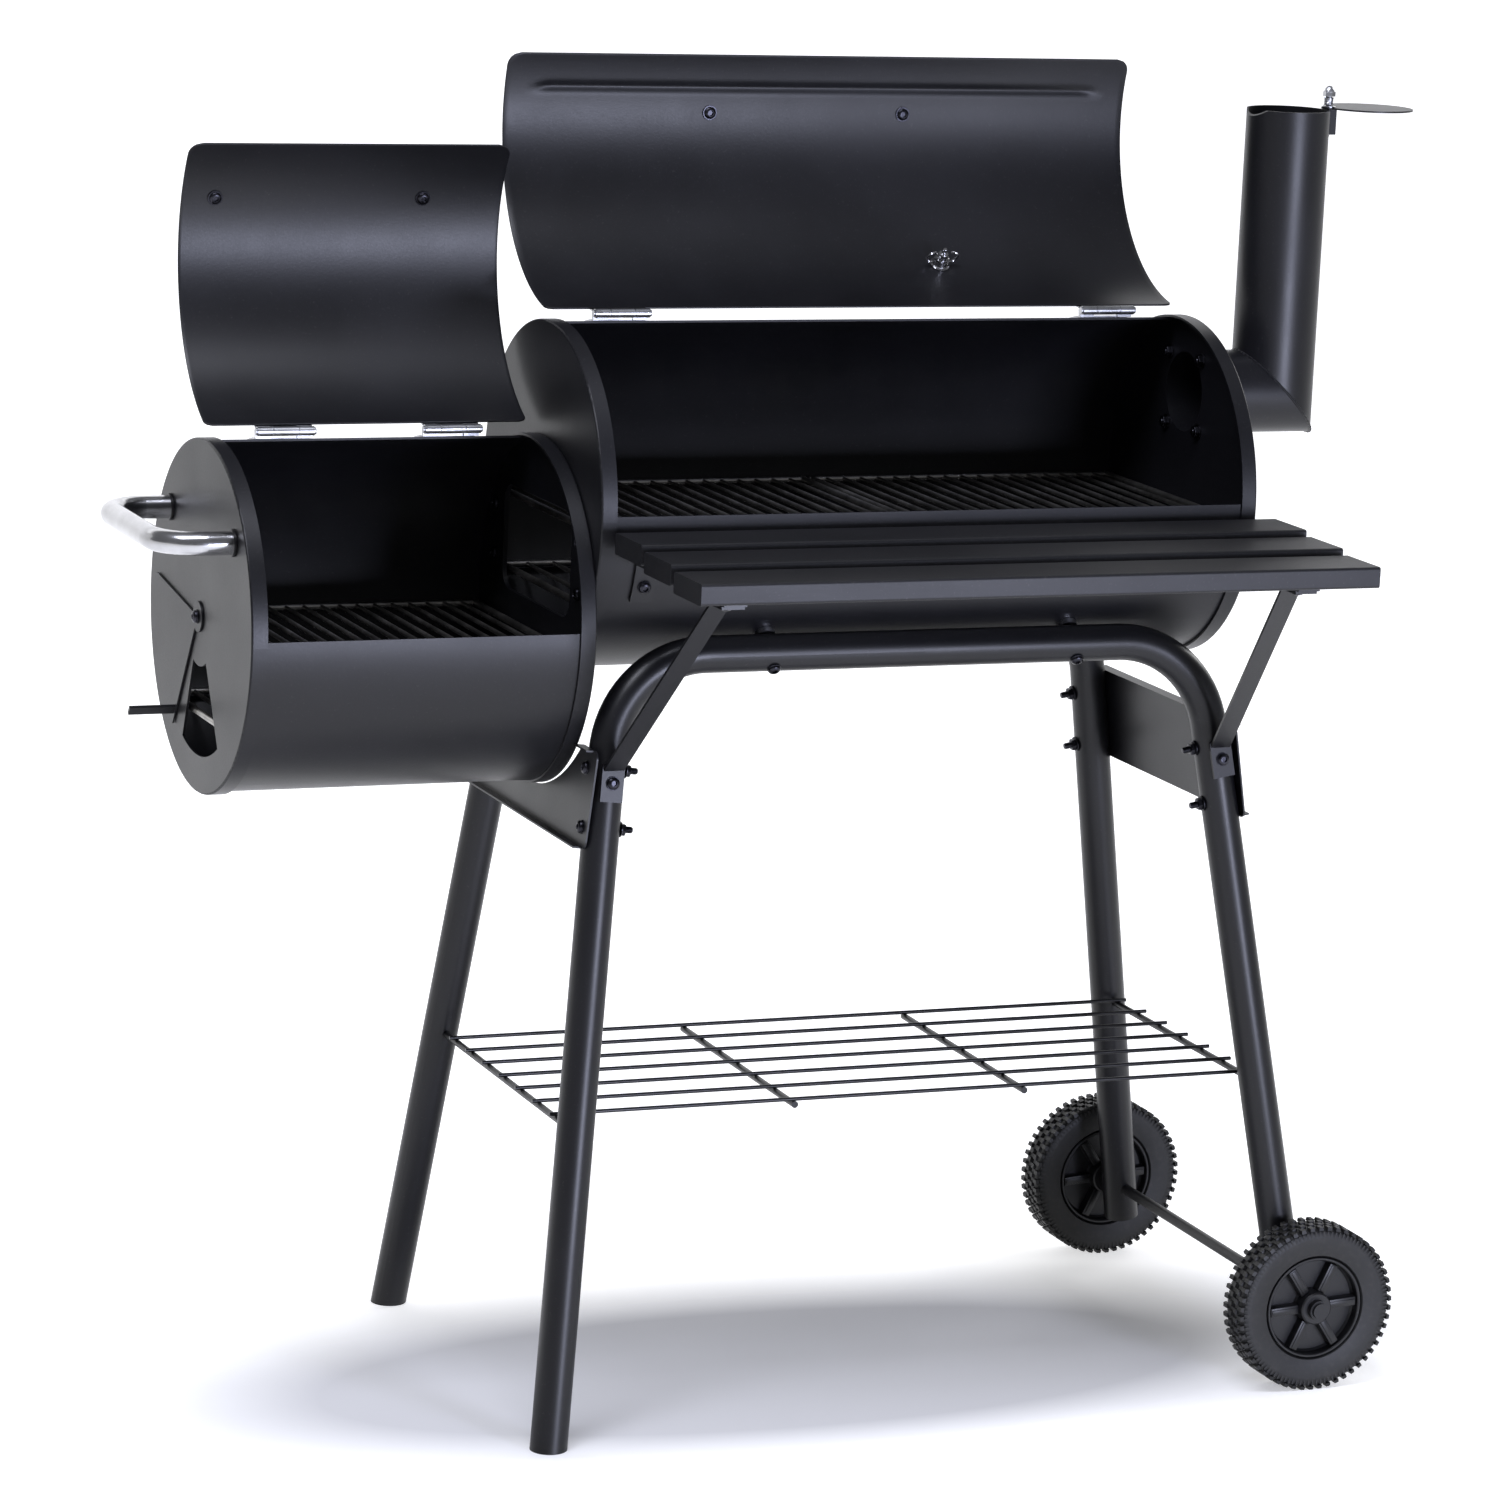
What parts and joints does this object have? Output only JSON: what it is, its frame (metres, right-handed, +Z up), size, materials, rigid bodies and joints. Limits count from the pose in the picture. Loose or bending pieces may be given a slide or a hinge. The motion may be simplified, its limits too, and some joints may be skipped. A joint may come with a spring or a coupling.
{
  "type": "offset smoker",
  "caption": "Charcoal offset smoker: cooking barrel with a lower side firebox, hinged lids, elbow chimney, front shelf, wire rack, tube legs and two wheels.",
  "frame": {"origin": "on the ground at the middle of the smoker's bounding box", "axes": "+X from the firebox towards the chimney and wheels, +Y from the shelf side towards the back, +Z up"},
  "size_m": [1.1826, 0.5972, 1.1447],
  "materials": {
    "black_steel": "satin black heat-resistant powder coat",
    "black_frame": "satin black powder coat on tube",
    "black_slat": "satin black coated slats",
    "polished_steel": "polished stainless tube",
    "zinc_steel": "zinc-plated",
    "dark_bolts": "blackened steel fasteners",
    "black_wire": "black coated wire",
    "grate_wire": "plated cooking wire",
    "black_plastic": "moulded black plastic",
    "wheel_tread": "moulded black tread",
    "dial_white": "printed dial plate",
    "clear_glass": "flat gauge glass",
    "needle_red": "red painted needle"
  },
  "bodies": {
    "stand": {"leg_front_left": "black_frame", "leg_front_right": "black_frame", "leg_rear_left": "black_frame", "leg_rear_right": "black_frame", "leg_plugs": "black_plastic", "side_panel_left": "black_frame", "side_panel_right": "black_frame", "panel_bolts": "dark_bolts", "barrel_bolts": "dark_bolts", "saddle_spacers": "zinc_steel", "main_shell": "black_steel", "main_cap_left": "black_steel", "main_cap_right": "black_steel", "firebox_shell": "black_steel", "firebox_cap_left": "black_steel", "firebox_cap_right": "black_steel", "chimney_elbow": "black_steel", "chimney_pipe": "black_steel", "cap_bolts": "dark_bolts", "chimney_pivot": "zinc_steel", "side_handle": "polished_steel", "side_handle_screws": "dark_bolts", "vent_pivot": "dark_bolts", "barrel_hinges": "zinc_steel", "hinge_pins": "zinc_steel", "shelf_slat_front": "black_slat", "shelf_slat_middle": "black_slat", "shelf_slat_rear": "black_slat", "shelf_screws": "dark_bolts", "shelf_struts": "black_frame", "shelf_brackets": "black_frame", "strut_bolts": "dark_bolts", "bottom_rack": "black_wire", "axle": "black_frame", "axle_fittings": "black_plastic", "main_grate_left": "grate_wire", "main_grate_right": "grate_wire", "main_charcoal_grate": "grate_wire", "firebox_grate": "grate_wire", "firebox_charcoal_grate": "grate_wire", "grate_ledges": "black_frame"},
    "main_lid": {"main_lid_shell": "black_steel", "main_lid_handle": "polished_steel", "main_lid_screws": "dark_bolts", "main_lid_hinges": "zinc_steel", "thermometer_case": "polished_steel", "thermometer_dial": "dial_white", "thermometer_lens": "clear_glass", "thermometer_nut": "zinc_steel"},
    "thermometer_needle": {"thermometer_pointer": "needle_red"},
    "firebox_lid": {"firebox_lid_shell": "black_steel", "firebox_lid_handle": "polished_steel", "firebox_lid_screws": "dark_bolts", "firebox_lid_hinges": "zinc_steel"},
    "vent_damper": {"vent_damper": "black_steel"},
    "chimney_cap": {"chimney_cap": "black_steel"},
    "wheel_front": {"wheel_front_tyre": "wheel_tread", "wheel_front_hub": "black_plastic"},
    "wheel_rear": {"wheel_rear_tyre": "wheel_tread", "wheel_rear_hub": "black_plastic"}
  },
  "joints": [
    {"name": "main_lid_hinge", "type": "hinge", "parent": "stand", "child": "main_lid", "pos_m": [0.0827, 0.0725, 0.93316], "axis": [1, 0, 0], "range_deg": [0, 167.4]},
    {"name": "firebox_lid_hinge", "type": "hinge", "parent": "stand", "child": "firebox_lid", "pos_m": [-0.3713, 0.0725, 0.83516], "axis": [1, 0, 0], "range_deg": [0, 153.3]},
    {"name": "thermometer_needle_turn", "type": "hinge", "parent": "main_lid", "child": "thermometer_needle", "pos_m": [0.1797, 0.15085, 0.9568], "axis": [0, -0.5962, 0.8028], "range_deg": [0, 270]},
    {"name": "vent_damper_swing", "type": "hinge", "parent": "stand", "child": "vent_damper", "pos_m": [-0.5241, 0.0564, 0.682], "axis": [-1, 0, 0], "range_deg": [0, 70]},
    {"name": "chimney_cap_swing", "type": "hinge", "parent": "stand", "child": "chimney_cap", "pos_m": [0.5115, 0.0564, 1.1154], "axis": [0, 0, 1], "range_deg": [0, 180]},
    {"name": "wheel_front_roll", "type": "hinge", "parent": "stand", "child": "wheel_front", "pos_m": [0.45195, -0.1596, 0.075], "axis": [0, 1, 0], "continuous": true},
    {"name": "wheel_rear_roll", "type": "hinge", "parent": "stand", "child": "wheel_rear", "pos_m": [0.45195, 0.2724, 0.075], "axis": [0, 1, 0], "continuous": true}
  ]
}
